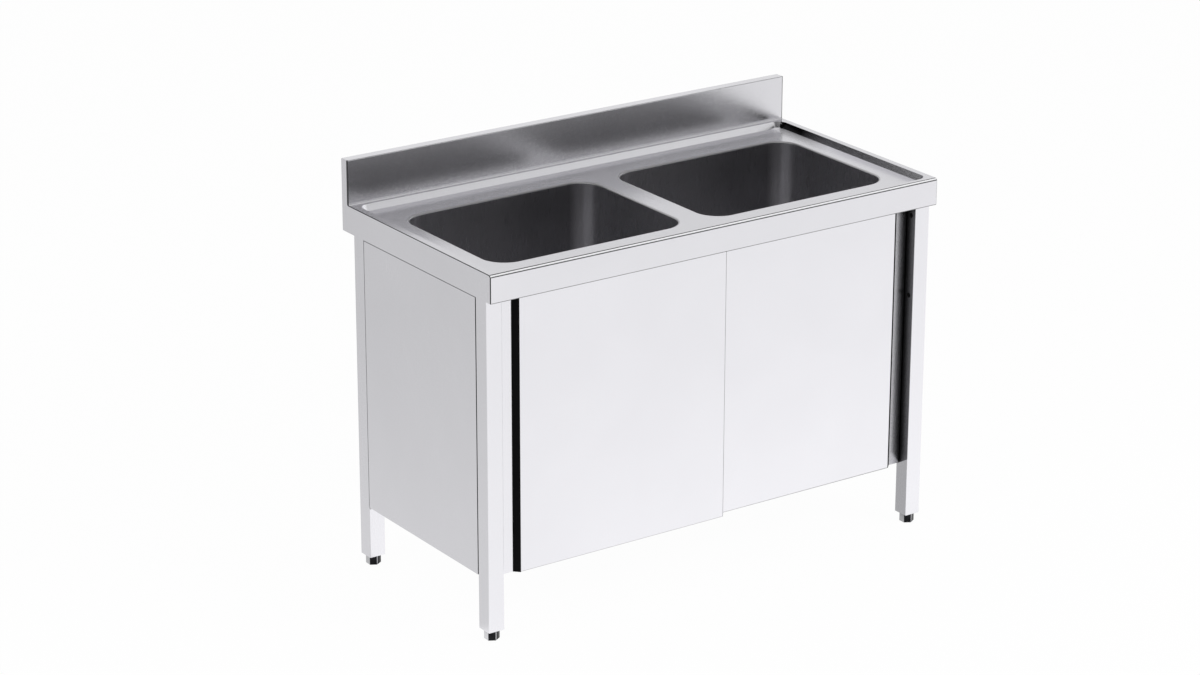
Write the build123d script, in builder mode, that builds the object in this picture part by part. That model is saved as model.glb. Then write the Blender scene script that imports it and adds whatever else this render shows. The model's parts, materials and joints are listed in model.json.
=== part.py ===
from build123d import *
import math
import os

# Double-bowl catering sink unit in folded stainless steel: a recessed worktop with an upstand,
# four square legs on screw feet, panelled sides and back, and two sliding doors that overlap.
# Millimetres. The origin is on the floor under the middle of the worktop, +X is the user's
# right, +Y points to the wall and +Z is up.

# ---- Driving dimensions -------------------------------------------------------------------
unit_width = 1200.0
unit_depth = 600.0
worktop_height = 845.0
worktop_sheet = 1.5
apron_height = 63.0
apron_lip = 10.0
front_bevel = 4.5
fold_radius = 2.5

upstand_height = 103.0
upstand_thickness = 25.0
upstand_cap_length = 3.0
upstand_cove = 2.0

recess_depth = 15.0
recess_slope = 5.0
recess_corner = 23.0
rim_front = 15.0
rim_side = 17.0
rim_rear = 15.4

bowl_depth = 250.0
bowl_gap = 64.0
bowl_side_margin = 72.0
bowl_front_margin = 85.0
bowl_rear_margin = 101.0
bowl_corner = 56.0
bowl_floor_radius = 30.0
bowl_sheet = 1.2
bowl_rim_radius = 3.5
bowl_rim_flat = 0.5

waste_flange_radius = 38.0
waste_flange_thickness = 2.0
waste_thread_radius = 24.0
waste_thread_length = 22.0
waste_tail_radius = 20.0
waste_tail_length = 40.0
waste_bore_radius = 17.0
waste_seat_radius = 30.0
waste_throat_depth = 6.0
waste_gasket_radius = 36.0
waste_gasket_thickness = 3.0
waste_nut_height = 9.0
waste_nut_radius = 32.0
strainer_thickness = 1.2
strainer_hole_radius = 2.5
strainer_ring_radii = (9.0, 18.0)
strainer_ring_counts = (6, 12)

leg_size = 40.0
leg_wall = 1.5
leg_corner = 2.0
leg_side_inset = 2.5
leg_front_setback = 21.7
leg_rear_setback = 44.6

foot_height = 23.0
foot_flats = 30.0
foot_edge = 1.5
foot_travel = 25.0
stud_radius = 5.0
stud_reach = 45.0
insert_height = 35.0

cabinet_bottom = 147.0
panel_sheet = 1.2
panel_return = 20.0
panel_gap = 2.0
panel_top_gap = 3.0
back_return = 15.0
service_width = 300.0
service_height = 120.0
service_rise = 90.0
service_corner = 15.0
rivet_radius = 2.0
rivet_head_radius = 4.0
rivet_head_height = 1.2
rivet_end_margin = 60.0
rivet_count = 3

shelf_sheet = 1.2
shelf_rise = 25.0
shelf_stiffener_width = 80.0
shelf_stiffener_height = 18.0

frame_sheet = 1.5
frame_height = 40.0
side_frame_width = 24.0
side_frame_height = 30.0
centre_frame_width = 44.0
centre_frame_height = 25.0
front_rail_thickness = 2.0
front_rail_overhang = 3.0

door_setback = 0.5
door_thickness = 16.0
door_gap = 2.0
door_overlap = 56.0
door_leg_gap = 1.5
door_top_gap = 1.4
door_sheet = 1.0
door_flange = 30.5
door_fold = 12.0
grip_thickness = 1.2
core_clearance = 1.0

track_sheet = 1.5
track_height = 32.5
track_lip = 8.0
track_room = 8.0
track_end_gap = 0.5
track_screw_gap = 2.5
track_screw_count = 6

roller_radius = 9.0
roller_width = 7.0
roller_groove_width = 3.0
roller_groove_depth = 2.0
axle_radius = 2.5
axle_head_radius = 4.0
axle_head_height = 1.0
axle_offset = 9.0
hanger_thickness = 1.5
hanger_foot = 10.0
hanger_foot_thickness = 2.0
hanger_width = 40.0
hanger_inset = 90.0
hanger_crown = 7.0
screw_radius = 2.0
screw_head_radius = 3.5
screw_head_height = 1.6
hanger_screw_length = 6.0
hanger_screw_pitch = 28.0

buffer_radius = 5.0
buffer_stem_radius = 2.5
buffer_stem = 4.0
buffer_drops = (37.0, 228.0)

guide_tab = 1.4
guide_tab_length = 40.0
guide_engagement = 8.0
guide_plate = 1.5
guide_plate_width = 60.0
guide_drop = 1.5
guide_upright = 22.0
guide_screw_pitch = 40.0

touch_clearance = 0.3
running_clearance = 0.05
hole_clearance = 0.1

# ---- Levels and planes that the pieces share ----------------------------------------------
half_width = unit_width / 2
front_y = -unit_depth / 2
wall_y = unit_depth / 2
upstand_y = wall_y - upstand_thickness
upstand_top_z = worktop_height + upstand_height
apron_z = worktop_height - apron_height
recess_z = worktop_height - recess_depth
under_z = recess_z - worktop_sheet
recess_taper = math.degrees(math.atan(recess_slope / recess_depth))

bowl_width = half_width - bowl_side_margin - bowl_gap / 2
bowl_length = unit_depth - upstand_thickness - bowl_front_margin - bowl_rear_margin
bowl_x = (bowl_gap + bowl_width) / 2
bowl_y = front_y + bowl_front_margin + bowl_length / 2
bowl_z = recess_z - bowl_depth
bowl_rim = bowl_rim_radius + bowl_rim_flat

side_x = half_width - leg_side_inset
leg_x = side_x - leg_size / 2
leg_inner_x = side_x - leg_size
leg_front_y = front_y + leg_front_setback
leg_back_y = wall_y - leg_rear_setback
front_leg_y = leg_front_y + leg_size / 2
rear_leg_y = leg_back_y - leg_size / 2
bay_front_y = leg_front_y + leg_size
bay_rear_y = leg_back_y - leg_size
panel_top_z = apron_z - panel_top_gap

door_pitch = door_thickness + door_gap
track_mid_y = leg_front_y + door_setback + door_thickness + door_gap / 2
door_outer_x = leg_inner_x - door_leg_gap
door_inner_x = door_overlap / 2
door_travel = door_outer_x - door_inner_x
door_flange_thickness = 2 * door_sheet + guide_tab + 2 * touch_clearance

rail_z = under_z - front_rail_thickness
track_z = rail_z - track_height
lip_top_z = track_z + track_lip
axle_z = lip_top_z + touch_clearance + roller_radius - roller_groove_depth
track_web_offset = axle_offset + roller_width / 2 + axle_head_height + track_room
hanger_offset = door_gap / 2 + door_sheet
door_top_z = track_z - screw_head_height - door_top_gap

shelf_z = cabinet_bottom + shelf_rise
shelf_front_y = bay_front_y + panel_gap + panel_sheet + touch_clearance
front_rail_y = track_mid_y - track_web_offset - track_sheet - front_rail_overhang / 2
front_rail_rear_y = track_mid_y + track_web_offset + track_sheet + front_rail_overhang / 2

buffer_heights = [door_top_z - drop for drop in buffer_drops]

SIDES = ((-1, "left"), (1, "right"))
X_TURN = (0, 90, 0)
Y_TURN = (90, 0, 0)
Z_TURN = (0, 0, 0)

os.makedirs("parts", exist_ok=True)


def save(piece, name):
    """Labels a finished piece and writes it."""
    piece.part.label = name
    export_step(piece.part, f"parts/{name}.step")


def block(x_ends, y_ends, z_ends, mode=Mode.ADD):
    """Adds or cuts a box between two opposite corners."""
    ends = (x_ends, y_ends, z_ends)
    with Locations(tuple(sum(pair) / 2 for pair in ends)):
        Box(*(abs(pair[1] - pair[0]) for pair in ends), mode=mode)


def peg(centre, radius, length, turn=Z_TURN, mode=Mode.ADD):
    """Adds or cuts a round bar, centred, along the axis that the turn gives."""
    with Locations(centre):
        Cylinder(radius, length, rotation=turn, mode=mode)


def rounded_block(centre, size, radius, z_ends, mode=Mode.ADD, taper=0.0):
    """Adds or cuts an upright block with rounded corners, drawn on its top face."""
    with BuildSketch(Plane.XY.offset(z_ends[1]), mode=Mode.PRIVATE) as outline:
        with Locations(centre):
            RectangleRounded(*size, radius)
    extrude(outline.sketch, amount=z_ends[0] - z_ends[1], taper=taper, mode=mode)


def channel(x_ends, y_ends, z_ends, sheet, along):
    """Adds a channel that is open below and at both ends along one axis."""
    block(x_ends, y_ends, z_ends)
    inner_x = x_ends if along == "x" else (x_ends[0] + sheet, x_ends[1] - sheet)
    inner_y = y_ends if along == "y" else (y_ends[0] + sheet, y_ends[1] - sheet)
    block(inner_x, inner_y, (z_ends[0], z_ends[1] - sheet), Mode.SUBTRACT)


def spread(first, last, count):
    """Evenly spaced places from the first to the last."""
    return [first + (last - first) * index / (count - 1) for index in range(count)]


# ---- Worktop ------------------------------------------------------------------------------
recess_front_y = front_y + rim_front
recess_rear_y = upstand_y - rim_rear
recess_centre = (0, (recess_front_y + recess_rear_y) / 2)
recess_size = (2 * (half_width - rim_side), recess_rear_y - recess_front_y)
tray_size = tuple(side + 2 * worktop_sheet for side in recess_size)
inner_bevel = front_bevel - worktop_sheet * (2 - math.sqrt(2))
cap_x = half_width - upstand_cap_length

# Solid outline of the worktop and upstand, from which the sheet and the end caps are taken.
with BuildPart() as worktop_outline:
    with BuildSketch(Plane.YZ) as side_view:
        with BuildLine():
            Polyline(
                (front_y, apron_z),
                (front_y, worktop_height),
                (upstand_y, worktop_height),
                (upstand_y, upstand_top_z),
                (wall_y, upstand_top_z),
                (wall_y, apron_z),
                close=True,
            )
        make_face()
        corners = side_view.vertices()
        chamfer(corners.sort_by_distance((front_y, worktop_height))[0], front_bevel)
        corners = side_view.vertices()
        fillet(corners.sort_by_distance((upstand_y, worktop_height))[0], upstand_cove)
        fillet(side_view.vertices().group_by(Axis.Y)[-1], fold_radius)
    extrude(amount=half_width, both=True)
    for end in (0, -1):
        outline_edges = worktop_outline.faces().sort_by(Axis.X)[end].edges()
        fillet(outline_edges.sort_by(Axis.Z)[1:], fold_radius)

# Space under the sheet, with the underside of the recess standing in it.
with BuildPart() as worktop_hollow:
    with BuildSketch(Plane.YZ) as hollow_view:
        with BuildLine():
            Polyline(
                (front_y + worktop_sheet, apron_z),
                (front_y + worktop_sheet, worktop_height - worktop_sheet),
                (upstand_y + worktop_sheet, worktop_height - worktop_sheet),
                (upstand_y + worktop_sheet, upstand_top_z - worktop_sheet),
                (wall_y - worktop_sheet, upstand_top_z - worktop_sheet),
                (wall_y - worktop_sheet, apron_z),
                close=True,
            )
        make_face()
        bevel_corner = (front_y + worktop_sheet, worktop_height - worktop_sheet)
        chamfer(hollow_view.vertices().sort_by_distance(bevel_corner)[0], inner_bevel)
    extrude(amount=half_width - worktop_sheet, both=True)
    rounded_block(
        recess_centre,
        tray_size,
        recess_corner + worktop_sheet,
        (under_z, worktop_height),
        Mode.SUBTRACT,
        recess_taper,
    )
    lip_y = front_y + worktop_sheet
    lip_x = half_width - worktop_sheet
    block((-lip_x, lip_x), (lip_y, lip_y + apron_lip), (apron_z, apron_z + worktop_sheet), Mode.SUBTRACT)

with BuildPart() as worktop:
    add(worktop_outline.part)
    rounded_block(
        recess_centre,
        recess_size,
        recess_corner,
        (recess_z, worktop_height),
        Mode.SUBTRACT,
        recess_taper,
    )
    add(worktop_hollow.part, mode=Mode.SUBTRACT)
    for side, hand in SIDES:
        rounded_block(
            (side * bowl_x, bowl_y),
            (bowl_width + 2 * bowl_rim, bowl_length + 2 * bowl_rim),
            bowl_corner + bowl_rim,
            (under_z, recess_z),
            Mode.SUBTRACT,
        )
        block(
            (side * cap_x, side * half_width),
            (upstand_y - upstand_cove, wall_y),
            (worktop_height, upstand_top_z),
            Mode.SUBTRACT,
        )
save(worktop, "worktop")

# Welded caps that close the ends of the upstand.
for side, hand in SIDES:
    with BuildPart() as upstand_cap:
        add(worktop_outline.part)
        block(
            (side * cap_x, side * half_width),
            (upstand_y - upstand_cove, wall_y),
            (worktop_height, upstand_top_z),
            Mode.INTERSECT,
        )
    save(upstand_cap, f"upstand_cap_{hand}")


# ---- Bowls and wastes ---------------------------------------------------------------------
def bowl_block(centre, growth, z_ends, mode=Mode.ADD):
    """Adds or cuts the bowl's rounded block, grown all round."""
    size = (bowl_width + 2 * growth, bowl_length + 2 * growth)
    rounded_block(centre, size, bowl_corner + growth, z_ends, mode)


def build_bowl(side, hand):
    """Pressed bowl with a rounded rim that is welded flush into the worktop."""
    centre = (side * bowl_x, bowl_y)
    with BuildPart() as hollow:
        bowl_block(centre, 0, (bowl_z, recess_z))
        fillet(hollow.edges().group_by(Axis.Z)[0], bowl_floor_radius)
    with BuildPart() as bowl:
        bowl_block(centre, bowl_sheet, (bowl_z - bowl_sheet, recess_z))
        fillet(bowl.edges().group_by(Axis.Z)[0], bowl_floor_radius + bowl_sheet)
        bowl_block(centre, bowl_rim, (recess_z - bowl_rim_radius - bowl_sheet, recess_z))
        add(hollow.part, mode=Mode.SUBTRACT)
        rim_face = bowl.faces().sort_by(Axis.Z)[-1]
        fillet(rim_face.inner_wires()[0].edges(), bowl_rim_radius)
        waste_hole_z = bowl_z - bowl_sheet / 2
        peg((*centre, waste_hole_z), waste_thread_radius + hole_clearance, bowl_sheet, mode=Mode.SUBTRACT)
    save(bowl, f"bowl_{hand}")


for side, hand in SIDES:
    build_bowl(side, hand)

thread_end_z = bowl_z - bowl_sheet - waste_thread_length
tail_end_z = thread_end_z - waste_tail_length
flange_top_z = bowl_z + waste_flange_thickness
waste_places = [(side * bowl_x, bowl_y) for side, hand in SIDES]

with BuildPart() as waste_bodies:
    for place in waste_places:
        with Locations((*place, (flange_top_z + bowl_z) / 2)):
            Cylinder(waste_flange_radius, waste_flange_thickness)
        peg((*place, (bowl_z + thread_end_z) / 2), waste_thread_radius, bowl_z - thread_end_z)
        peg((*place, (thread_end_z + tail_end_z) / 2), waste_tail_radius, waste_tail_length)
        peg(
            (*place, (flange_top_z + tail_end_z) / 2),
            waste_bore_radius,
            flange_top_z - tail_end_z,
            mode=Mode.SUBTRACT,
        )
        peg(
            (*place, flange_top_z - strainer_thickness / 2),
            waste_seat_radius,
            strainer_thickness,
            mode=Mode.SUBTRACT,
        )
        throat_radius = (waste_bore_radius + waste_thread_radius) / 2
        peg(
            (*place, flange_top_z - waste_throat_depth / 2),
            throat_radius,
            waste_throat_depth,
            mode=Mode.SUBTRACT,
        )
save(waste_bodies, "waste_bodies")

with BuildPart() as waste_strainers:
    for place in waste_places:
        plate_z = flange_top_z - strainer_thickness / 2
        peg((*place, plate_z), waste_seat_radius - touch_clearance, strainer_thickness)
        with Locations((*place, plate_z)):
            for ring_radius, ring_count in zip(strainer_ring_radii, strainer_ring_counts):
                with PolarLocations(ring_radius, ring_count):
                    Cylinder(strainer_hole_radius, strainer_thickness, mode=Mode.SUBTRACT)
            Cylinder(strainer_hole_radius, strainer_thickness, mode=Mode.SUBTRACT)
save(waste_strainers, "waste_strainers")

gasket_top_z = bowl_z - bowl_sheet
with BuildPart() as waste_gaskets:
    for place in waste_places:
        middle = (*place, gasket_top_z - waste_gasket_thickness / 2)
        peg(middle, waste_gasket_radius, waste_gasket_thickness)
        peg(middle, waste_thread_radius + hole_clearance, waste_gasket_thickness, mode=Mode.SUBTRACT)
save(waste_gaskets, "waste_gaskets")

nut_top_z = gasket_top_z - waste_gasket_thickness
with BuildPart() as waste_nuts:
    with BuildSketch(Plane.XY.offset(nut_top_z)):
        with Locations(*waste_places):
            RegularPolygon(waste_nut_radius, 6)
            Circle(waste_thread_radius + hole_clearance, mode=Mode.SUBTRACT)
    extrude(amount=-waste_nut_height)
save(waste_nuts, "waste_nuts")

# ---- Legs, inserts and feet ---------------------------------------------------------------
LEGS = [
    (side, end_y, f"{end}_{hand}")
    for end, end_y in (("front", front_leg_y), ("rear", rear_leg_y))
    for side, hand in SIDES
]
buffer_places = [(side, track_mid_y - hanger_offset - hanger_thickness / 2) for side, hand in SIDES]
buffer_places.append((-1, track_mid_y + door_pitch / 2))
rivet_zs = spread(cabinet_bottom + rivet_end_margin, panel_top_z - rivet_end_margin, rivet_count)
side_rivet_x = side_x - panel_return / 2
back_rivet_y = leg_back_y - back_return / 2
leg_inner_size = leg_size - 2 * leg_wall
leg_inner_corner = max(leg_corner - leg_wall, hole_clearance)


def build_leg(side, end_y, place):
    """Square tube with the holes for its buffers and rivets."""
    with BuildPart() as leg:
        centre = (side * leg_x, end_y)
        rounded_block(centre, (leg_size, leg_size), leg_corner, (foot_height, under_z))
        rounded_block(
            centre,
            (leg_inner_size, leg_inner_size),
            leg_inner_corner,
            (foot_height, under_z),
            Mode.SUBTRACT,
        )
        inner_wall_x = side * (leg_inner_x + leg_wall / 2)
        bay_wall_y = end_y + math.copysign(leg_size / 2 - leg_wall / 2, -end_y)
        for rivet_z in rivet_zs:
            hole = rivet_radius + hole_clearance
            peg((side * side_rivet_x, bay_wall_y, rivet_z), hole, leg_wall, Y_TURN, Mode.SUBTRACT)
            if place.startswith("rear"):
                peg((inner_wall_x, back_rivet_y, rivet_z), hole, leg_wall, X_TURN, Mode.SUBTRACT)
        for buffer_side, buffer_y in buffer_places:
            if place.startswith("front") and buffer_side == side:
                for buffer_z in buffer_heights:
                    hole = buffer_stem_radius + running_clearance
                    peg((inner_wall_x, buffer_y, buffer_z), hole, leg_wall, X_TURN, Mode.SUBTRACT)
    save(leg, f"leg_{place}")


def build_foot(side, end_y, place):
    """Hexagonal foot with a threaded stud, screwed fully in."""
    foot_top_z = foot_height - touch_clearance
    with BuildPart() as foot:
        with BuildSketch():
            with Locations((side * leg_x, end_y)):
                RegularPolygon(foot_flats / 2, 6, major_radius=False, rotation=30)
        extrude(amount=foot_top_z)
        chamfer(foot.edges().group_by(Axis.Z)[0], foot_edge)
        peg((side * leg_x, end_y, foot_top_z + stud_reach / 2), stud_radius, stud_reach)
    save(foot, f"foot_{place}")


for side, end_y, place in LEGS:
    build_leg(side, end_y, place)
    build_foot(side, end_y, place)

with BuildPart() as leg_inserts:
    for side, end_y, place in LEGS:
        centre = (side * leg_x, end_y)
        rounded_block(
            centre,
            (leg_inner_size, leg_inner_size),
            leg_inner_corner,
            (foot_height, foot_height + insert_height),
        )
        peg(
            (*centre, foot_height + insert_height / 2),
            stud_radius + running_clearance,
            insert_height,
            mode=Mode.SUBTRACT,
        )
save(leg_inserts, "leg_inserts")

with BuildPart() as door_buffers:
    for side, buffer_y in buffer_places:
        head_x = side * (leg_inner_x - (door_leg_gap - touch_clearance) / 2)
        stem_x = side * (leg_inner_x + buffer_stem / 2)
        for buffer_z in buffer_heights:
            peg((head_x, buffer_y, buffer_z), buffer_radius, door_leg_gap - touch_clearance, X_TURN)
            peg((stem_x, buffer_y, buffer_z), buffer_stem_radius, buffer_stem, X_TURN)
save(door_buffers, "door_buffers")

# ---- Frame under the worktop --------------------------------------------------------------
with BuildPart() as front_rail:
    block((-leg_inner_x, leg_inner_x), (front_rail_y, front_rail_rear_y), (rail_z, under_z))
    screw_xs = spread(-leg_inner_x + leg_size, leg_inner_x - leg_size, track_screw_count)
    track_screw_offset = track_web_offset - screw_head_radius - track_screw_gap
    for side, hand in SIDES:
        for screw_x in screw_xs:
            place = (screw_x, track_mid_y + side * track_screw_offset, (rail_z + under_z) / 2)
            peg(place, screw_radius + hole_clearance, front_rail_thickness, mode=Mode.SUBTRACT)
save(front_rail, "front_rail")

with BuildPart() as rear_rail:
    rail_inset = leg_wall + touch_clearance
    channel(
        (-leg_inner_x, leg_inner_x),
        (bay_rear_y + rail_inset, leg_back_y - rail_inset),
        (under_z - frame_height, under_z),
        frame_sheet,
        "x",
    )
save(rear_rail, "rear_rail")

for side, hand in SIDES:
    with BuildPart() as side_rail:
        channel(
            (side * leg_x - side_frame_width / 2, side * leg_x + side_frame_width / 2),
            (bay_front_y, bay_rear_y),
            (under_z - side_frame_height, under_z),
            frame_sheet,
            "y",
        )
    save(side_rail, f"side_rail_{hand}")

with BuildPart() as centre_stiffener:
    channel(
        (-centre_frame_width / 2, centre_frame_width / 2),
        (front_rail_rear_y, bay_rear_y + leg_wall + touch_clearance),
        (under_z - centre_frame_height, under_z),
        frame_sheet,
        "y",
    )
save(centre_stiffener, "centre_stiffener")

# ---- Panels, shelf and their rivets -------------------------------------------------------
panel_front_y = bay_front_y + panel_gap
panel_rear_y = bay_rear_y - panel_gap


def build_side_panel(side, hand):
    """Side panel folded inwards on all four edges, flush with the legs."""
    with BuildPart() as panel:
        outer_ends = (side * (side_x - panel_return), side * side_x)
        block(outer_ends, (panel_front_y, panel_rear_y), (cabinet_bottom, panel_top_z))
        inner_ends = (side * (side_x - panel_return), side * (side_x - panel_sheet))
        block(
            inner_ends,
            (panel_front_y + panel_sheet, panel_rear_y - panel_sheet),
            (cabinet_bottom + panel_sheet, panel_top_z - panel_sheet),
            Mode.SUBTRACT,
        )
        for rivet_z in rivet_zs:
            for return_y in (panel_front_y + panel_sheet / 2, panel_rear_y - panel_sheet / 2):
                place = (side * side_rivet_x, return_y, rivet_z)
                peg(place, rivet_radius + hole_clearance, panel_sheet, Y_TURN, Mode.SUBTRACT)
    save(panel, f"side_panel_{hand}")


for side, hand in SIDES:
    build_side_panel(side, hand)

back_x = leg_inner_x - panel_gap
back_front_y = leg_back_y - back_return
service_z = cabinet_bottom + service_rise + service_height / 2

with BuildPart() as back_panel:
    block((-back_x, back_x), (back_front_y, leg_back_y), (cabinet_bottom, panel_top_z))
    block(
        (-back_x + panel_sheet, back_x - panel_sheet),
        (back_front_y, leg_back_y - panel_sheet),
        (cabinet_bottom + panel_sheet, panel_top_z - panel_sheet),
        Mode.SUBTRACT,
    )
    with BuildSketch(Plane.XZ.offset(-leg_back_y)):
        with Locations((0, service_z)):
            RectangleRounded(service_width, service_height, service_corner)
    extrude(amount=panel_sheet, mode=Mode.SUBTRACT)
    for side, hand in SIDES:
        for rivet_z in rivet_zs:
            place = (side * (back_x - panel_sheet / 2), back_rivet_y, rivet_z)
            peg(place, rivet_radius + hole_clearance, panel_sheet, X_TURN, Mode.SUBTRACT)
save(back_panel, "back_panel")

rivet_grip = panel_sheet + panel_gap + leg_wall


def rivet(place, towards, turn):
    """Adds a blind rivet whose head lies on the panel's return at the place given."""
    parts_of_rivet = (
        (rivet_head_radius, rivet_head_height, -rivet_head_height / 2),
        (rivet_radius, rivet_grip, rivet_grip / 2),
        (rivet_radius + rivet_head_height / 2, rivet_head_height, rivet_grip + rivet_head_height / 2),
    )
    for radius, length, along in parts_of_rivet:
        centre = tuple(start + way * along for start, way in zip(place, towards))
        peg(centre, radius, length, turn)


with BuildPart() as panel_rivets:
    for side, hand in SIDES:
        for rivet_z in rivet_zs:
            rivet((side * side_rivet_x, panel_front_y + panel_sheet, rivet_z), (0, -1, 0), Y_TURN)
            rivet((side * side_rivet_x, panel_rear_y - panel_sheet, rivet_z), (0, 1, 0), Y_TURN)
            rivet((side * (back_x - panel_sheet), back_rivet_y, rivet_z), (side, 0, 0), X_TURN)
save(panel_rivets, "panel_rivets")

shelf_x = side_x - panel_sheet - touch_clearance
shelf_rear_y = panel_rear_y - panel_sheet - touch_clearance
tongue_x = back_x - panel_sheet - touch_clearance
tongue_rear_y = leg_back_y - panel_sheet - touch_clearance
shelf_seat_z = cabinet_bottom + panel_sheet

with BuildPart() as bottom_shelf:
    block((-shelf_x, shelf_x), (shelf_front_y, shelf_rear_y), (shelf_seat_z, shelf_z))
    block((-tongue_x, tongue_x), (shelf_rear_y, tongue_rear_y), (shelf_seat_z, shelf_z))
    under_shelf = (shelf_seat_z, shelf_z - shelf_sheet)
    block(
        (-shelf_x + shelf_sheet, shelf_x - shelf_sheet),
        (shelf_front_y + shelf_sheet, shelf_rear_y - shelf_sheet),
        under_shelf,
        Mode.SUBTRACT,
    )
    block(
        (-tongue_x + shelf_sheet, tongue_x - shelf_sheet),
        (shelf_rear_y - shelf_sheet, tongue_rear_y - shelf_sheet),
        under_shelf,
        Mode.SUBTRACT,
    )
    for side, hand in SIDES:
        place = (side * guide_screw_pitch / 2, shelf_front_y + shelf_sheet / 2, shelf_z - shelf_rise / 2)
        peg(place, screw_radius + hole_clearance, shelf_sheet, Y_TURN, Mode.SUBTRACT)
save(bottom_shelf, "bottom_shelf")

with BuildPart() as shelf_stiffener:
    shelf_middle_y = (shelf_front_y + shelf_rear_y) / 2
    channel(
        (-shelf_x + panel_return, shelf_x - panel_return),
        (shelf_middle_y - shelf_stiffener_width / 2, shelf_middle_y + shelf_stiffener_width / 2),
        (shelf_z - shelf_sheet - shelf_stiffener_height, shelf_z - shelf_sheet),
        shelf_sheet,
        "x",
    )
save(shelf_stiffener, "shelf_stiffener")

# ---- Door tracks and floor guide ----------------------------------------------------------
# Both tracks are one profile, mirrored about the plane midway between the two doors.
def across(side, near, far):
    """Y ends of a piece that lies this far from the middle plane, in front or behind."""
    return tuple(sorted((track_mid_y + side * near, track_mid_y + side * far)))


track_x = leg_inner_x - track_end_gap
lip_near = axle_offset - track_sheet / 2
web_far = track_web_offset + track_sheet
ROWS = ((-1, "front", "left"), (1, "rear", "right"))

for side, row, hand in ROWS:
    with BuildPart() as track:
        track_ends = (-track_x, track_x)
        block(track_ends, across(side, track_web_offset, web_far), (track_z, rail_z))
        block(track_ends, across(side, lip_near, web_far), (track_z, track_z + track_sheet))
        block(track_ends, across(side, lip_near, lip_near + track_sheet), (track_z, lip_top_z))
        block(track_ends, across(side, hanger_offset, web_far), (rail_z - track_sheet, rail_z))
        for screw_x in screw_xs:
            place = (screw_x, track_mid_y + side * track_screw_offset, rail_z - track_sheet / 2)
            peg(place, screw_radius + hole_clearance, track_sheet, mode=Mode.SUBTRACT)
    save(track, f"track_{row}")

with BuildPart() as track_screws:
    for side, row, hand in ROWS:
        for screw_x in screw_xs:
            screw_y = track_mid_y + side * track_screw_offset
            shank_bottom = rail_z - track_sheet
            shank_top = under_z - hole_clearance
            peg((screw_x, screw_y, (shank_bottom + shank_top) / 2), screw_radius, shank_top - shank_bottom)
            head_z = shank_bottom - screw_head_height / 2
            peg((screw_x, screw_y, head_z), screw_head_radius, screw_head_height)
save(track_screws, "track_screws")

guide_z = cabinet_bottom - guide_drop
tab_offset_front = door_gap / 2 + door_sheet + touch_clearance
tab_offset_rear = door_gap / 2 + door_thickness - door_sheet - touch_clearance - guide_tab
with BuildPart() as door_floor_guide:
    plate_x = guide_plate_width / 2
    upright_y = (shelf_front_y - guide_plate, shelf_front_y)
    plate_y = (track_mid_y - tab_offset_front - guide_tab - guide_plate, shelf_front_y)
    block((-plate_x, plate_x), plate_y, (guide_z - guide_plate, guide_z))
    block((-plate_x, plate_x), upright_y, (guide_z, shelf_seat_z + guide_upright))
    tab_z = (guide_z, cabinet_bottom + guide_engagement)
    for near_y in (track_mid_y - tab_offset_front - guide_tab, track_mid_y + tab_offset_rear):
        block((-guide_tab_length / 2, guide_tab_length / 2), (near_y, near_y + guide_tab), tab_z)
    for side, hand in SIDES:
        place = (side * guide_screw_pitch / 2, sum(upright_y) / 2, shelf_z - shelf_rise / 2)
        peg(place, screw_radius + hole_clearance, guide_plate, Y_TURN, Mode.SUBTRACT)
save(door_floor_guide, "door_floor_guide")

with BuildPart() as guide_screws:
    for side, hand in SIDES:
        screw_x = side * guide_screw_pitch / 2
        screw_z = shelf_z - shelf_rise / 2
        head_y = upright_y[0] - screw_head_height / 2
        shank_length = guide_plate + shelf_sheet + screw_radius
        peg((screw_x, head_y, screw_z), screw_head_radius, screw_head_height, Y_TURN)
        peg((screw_x, upright_y[0] + shank_length / 2, screw_z), screw_radius, shank_length, Y_TURN)
save(guide_screws, "guide_screws")

# ---- Sliding doors ------------------------------------------------------------------------
# The left door runs in the front track and the right door in the rear one. Each outer edge is
# folded back at 45 degrees to a flange beside its leg, which leaves room for the fingers.
fold_start = door_outer_x - door_flange - door_fold
fold_end = door_outer_x - door_flange


def door_faces(side):
    """Y of the door's front and rear faces."""
    front = track_mid_y - door_gap / 2 - door_thickness if side < 0 else track_mid_y + door_gap / 2
    return front, front + door_thickness


def door_section(side, inset, level):
    """Plan outline of a door at a level, drawn in by the inset all round."""
    front, back = door_faces(side)
    flange_y = back - door_flange_thickness
    with BuildSketch(Plane.XY.offset(level), mode=Mode.PRIVATE) as section:
        with BuildLine():
            Polyline(
                (-side * door_inner_x, front),
                (side * fold_start, front),
                (side * (fold_start + flange_y - front), flange_y),
                (side * door_outer_x, flange_y),
                (side * door_outer_x, back),
                (-side * door_inner_x, back),
                close=True,
            )
        make_face()
        if inset:
            offset(amount=-inset, kind=Kind.INTERSECTION, mode=Mode.REPLACE)
    return section.sketch


def hanger_ys(side):
    """Y ends of the hanger plate and of its foot."""
    plate_far = hanger_offset + hanger_thickness
    return across(side, hanger_offset, plate_far), across(side, plate_far, plate_far + hanger_foot)


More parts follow.
